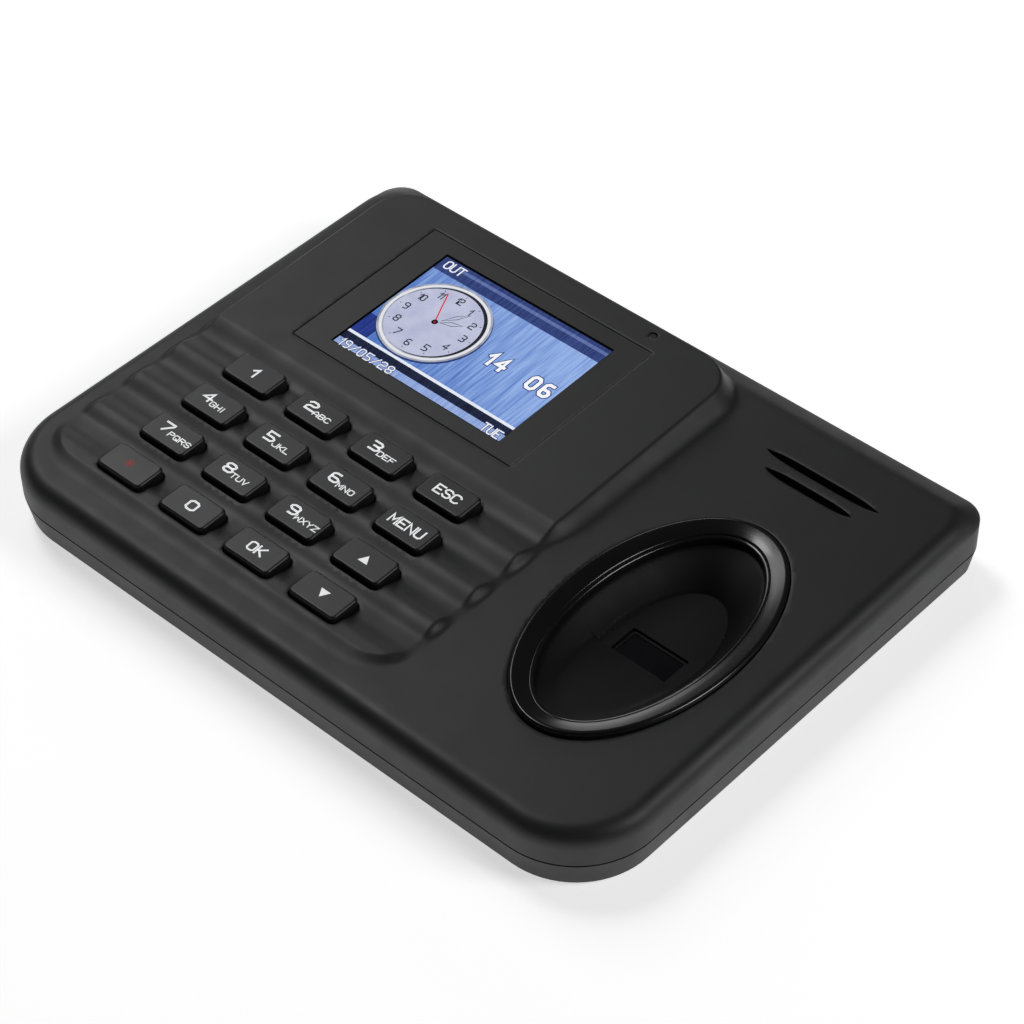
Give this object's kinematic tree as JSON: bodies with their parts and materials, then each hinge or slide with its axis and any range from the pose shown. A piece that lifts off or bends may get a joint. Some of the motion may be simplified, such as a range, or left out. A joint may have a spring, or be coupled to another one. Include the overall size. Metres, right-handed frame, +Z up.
{
  "type": "fingerprint time clock",
  "caption": "Low desk or wall terminal that records working hours, with a colour screen, a rubber-dome keypad and an oval well for a fingerprint sensor.",
  "frame": {"origin": "on the table, under the middle of the body's plan outline, level with the undersides of the rubber feet", "axes": "+X to the right as a user faces it, +Y to the rear edge with the sockets, +Z up"},
  "size_m": [0.168, 0.126, 0.0204],
  "materials": {
    "black_housing": "fine matte texture, black ABS",
    "black_cover": "fine matte texture, black ABS",
    "black_keys": "smooth matte black with a printed legend",
    "gloss_ring": "polished black plastic",
    "dark_well": "matte black plastic",
    "smoked_lens": "clear acrylic with a dark printed border",
    "lcd_glass": "lit liquid crystal panel",
    "backlight_frame": "white plastic frame with a diffuser",
    "black_foam": "thin black foam tape",
    "light_diffuser": "translucent smoked plastic",
    "grey_silicone": "grey silicone rubber",
    "green_board": "green solder mask on glass fibre",
    "chip_black": "moulded black epoxy",
    "sensor_glass": "coated sensor window",
    "sensor_case": "black moulded case",
    "speaker_case": "black moulded frame",
    "paper_cone": "pressed paper",
    "magnet_steel": "plated steel cup",
    "holder_plastic": "black moulded plastic",
    "cell_steel": "stainless steel can",
    "connector_white": "ivory moulded nylon",
    "socket_steel": "plated steel shell",
    "tongue_black": "black moulded tongue",
    "jack_black": "black moulded housing",
    "contact_metal": "nickel plated contact",
    "ribbon_film": "amber polyimide film",
    "cable_grey": "grey cable jacket",
    "screw_steel": "zinc plated steel",
    "foot_rubber": "soft black rubber"
  },
  "bodies": {
    "terminal": {"backlight": "backlight_frame", "board_screws": "screw_steel", "case_screws": "screw_steel", "cell_holder": "holder_plastic", "coin_cell": "cell_steel", "display_lens": "smoked_lens", "display_ribbon": "ribbon_film", "finger_ring": "gloss_ring", "finger_well": "dark_well", "keypad_board": "green_board", "keypad_mat": "grey_silicone", "keypad_ribbon": "ribbon_film", "keypad_screws": "screw_steel", "lcd_panel": "lcd_glass", "lens_gasket": "black_foam", "lower_cover": "black_cover", "main_board": "green_board", "memory_chips": "chip_black", "power_jack": "jack_black", "power_pin": "contact_metal", "processor": "chip_black", "ribbon_connectors": "connector_white", "rubber_feet": "foot_rubber", "sensor_board": "green_board", "sensor_cable": "cable_grey", "sensor_connector": "connector_white", "sensor_module": "sensor_case", "sensor_window": "sensor_glass", "speaker_cone": "paper_cone", "speaker_frame": "speaker_case", "speaker_magnet": "magnet_steel", "status_light": "light_diffuser", "upper_housing": "black_housing", "usb_port": "socket_steel", "usb_tongue": "tongue_black"},
    "key_1": {"key_1": "black_keys"},
    "key_2": {"key_2": "black_keys"},
    "key_3": {"key_3": "black_keys"},
    "key_esc": {"key_esc": "black_keys"},
    "key_4": {"key_4": "black_keys"},
    "key_5": {"key_5": "black_keys"},
    "key_6": {"key_6": "black_keys"},
    "key_menu": {"key_menu": "black_keys"},
    "key_7": {"key_7": "black_keys"},
    "key_8": {"key_8": "black_keys"},
    "key_9": {"key_9": "black_keys"},
    "key_up": {"key_up": "black_keys"},
    "key_record": {"key_record": "black_keys"},
    "key_0": {"key_0": "black_keys"},
    "key_ok": {"key_ok": "black_keys"},
    "key_down": {"key_down": "black_keys"}
  },
  "joints": [
    {"name": "key_1_press", "type": "slide", "parent": "terminal", "child": "key_1", "axis": [0, 0, -1], "range_m": [0, 0.0008], "stiffness_N_per_m": 250, "springref_m": -0.0008},
    {"name": "key_2_press", "type": "slide", "parent": "terminal", "child": "key_2", "axis": [0, 0, -1], "range_m": [0, 0.0008], "stiffness_N_per_m": 250, "springref_m": -0.0008},
    {"name": "key_3_press", "type": "slide", "parent": "terminal", "child": "key_3", "axis": [0, 0, -1], "range_m": [0, 0.0008], "stiffness_N_per_m": 250, "springref_m": -0.0008},
    {"name": "key_esc_press", "type": "slide", "parent": "terminal", "child": "key_esc", "axis": [0, 0, -1], "range_m": [0, 0.0008], "stiffness_N_per_m": 250, "springref_m": -0.0008},
    {"name": "key_4_press", "type": "slide", "parent": "terminal", "child": "key_4", "axis": [0, 0, -1], "range_m": [0, 0.0008], "stiffness_N_per_m": 250, "springref_m": -0.0008},
    {"name": "key_5_press", "type": "slide", "parent": "terminal", "child": "key_5", "axis": [0, 0, -1], "range_m": [0, 0.0008], "stiffness_N_per_m": 250, "springref_m": -0.0008},
    {"name": "key_6_press", "type": "slide", "parent": "terminal", "child": "key_6", "axis": [0, 0, -1], "range_m": [0, 0.0008], "stiffness_N_per_m": 250, "springref_m": -0.0008},
    {"name": "key_menu_press", "type": "slide", "parent": "terminal", "child": "key_menu", "axis": [0, 0, -1], "range_m": [0, 0.0008], "stiffness_N_per_m": 250, "springref_m": -0.0008},
    {"name": "key_7_press", "type": "slide", "parent": "terminal", "child": "key_7", "axis": [0, 0, -1], "range_m": [0, 0.0008], "stiffness_N_per_m": 250, "springref_m": -0.0008},
    {"name": "key_8_press", "type": "slide", "parent": "terminal", "child": "key_8", "axis": [0, 0, -1], "range_m": [0, 0.0008], "stiffness_N_per_m": 250, "springref_m": -0.0008},
    {"name": "key_9_press", "type": "slide", "parent": "terminal", "child": "key_9", "axis": [0, 0, -1], "range_m": [0, 0.0008], "stiffness_N_per_m": 250, "springref_m": -0.0008},
    {"name": "key_up_press", "type": "slide", "parent": "terminal", "child": "key_up", "axis": [0, 0, -1], "range_m": [0, 0.0008], "stiffness_N_per_m": 250, "springref_m": -0.0008},
    {"name": "key_record_press", "type": "slide", "parent": "terminal", "child": "key_record", "axis": [0, 0, -1], "range_m": [0, 0.0008], "stiffness_N_per_m": 250, "springref_m": -0.0008},
    {"name": "key_0_press", "type": "slide", "parent": "terminal", "child": "key_0", "axis": [0, 0, -1], "range_m": [0, 0.0008], "stiffness_N_per_m": 250, "springref_m": -0.0008},
    {"name": "key_ok_press", "type": "slide", "parent": "terminal", "child": "key_ok", "axis": [0, 0, -1], "range_m": [0, 0.0008], "stiffness_N_per_m": 250, "springref_m": -0.0008},
    {"name": "key_down_press", "type": "slide", "parent": "terminal", "child": "key_down", "axis": [0, 0, -1], "range_m": [0, 0.0008], "stiffness_N_per_m": 250, "springref_m": -0.0008}
  ]
}
